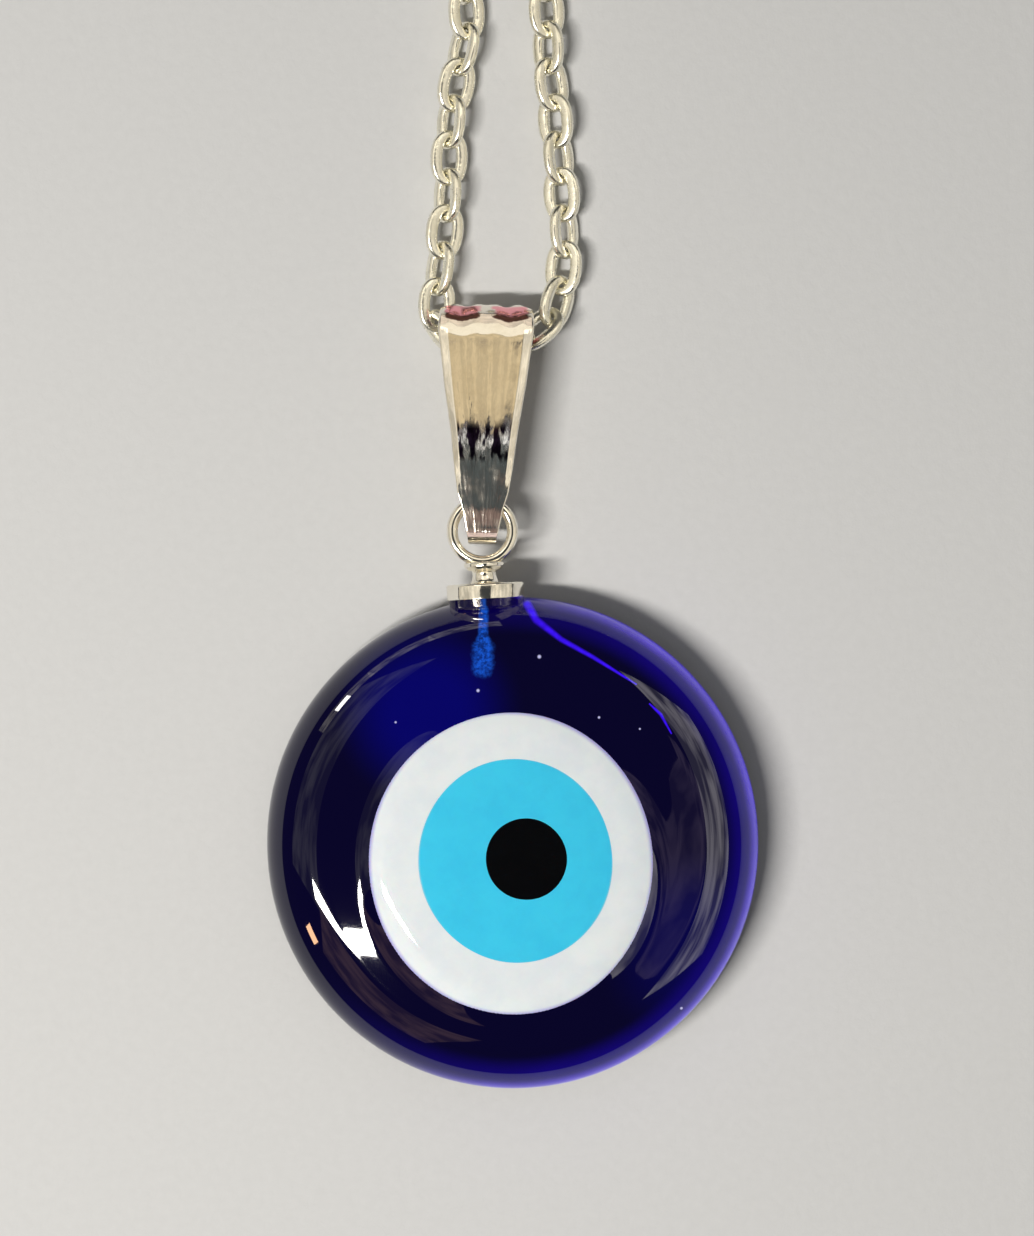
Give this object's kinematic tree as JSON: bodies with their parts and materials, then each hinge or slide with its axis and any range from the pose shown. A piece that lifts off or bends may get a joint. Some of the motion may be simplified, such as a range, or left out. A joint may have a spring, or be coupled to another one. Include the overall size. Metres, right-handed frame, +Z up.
{
  "type": "evil eye pendant",
  "caption": "Round blue glass evil eye pendant with a peg bail in its rim, hung by a fluted pinch bail on a cable chain that makes a whole necklace, lying face up.",
  "frame": {"origin": "middle of the glass disc's flat back, which lies on the surface", "axes": "+Z up out of the face of the eye; +Y from the disc's middle towards the peg bail and the chain; +X to the right as the face is seen"},
  "size_m": [0.1222, 0.212, 0.0071],
  "materials": {
    "blue_glass": "deep cobalt glass, fire polished, nearly opaque",
    "white_glass": "opaque white glass, glossy",
    "light_blue_glass": "opaque light blue glass, glossy",
    "black_glass": "opaque black glass, glossy",
    "fittings": "bright plated sheet and wire, warm tone",
    "chain": "bright plated wire, warm tone"
  },
  "bodies": {
    "root": {"glass_disc": "blue_glass", "eye_white": "white_glass", "eye_iris": "light_blue_glass", "eye_pupil": "black_glass", "peg_bail": "fittings", "pinch_bail": "fittings", "chain_left": "chain", "chain_right": "chain", "clasp": "fittings"}
  },
  "joints": []
}
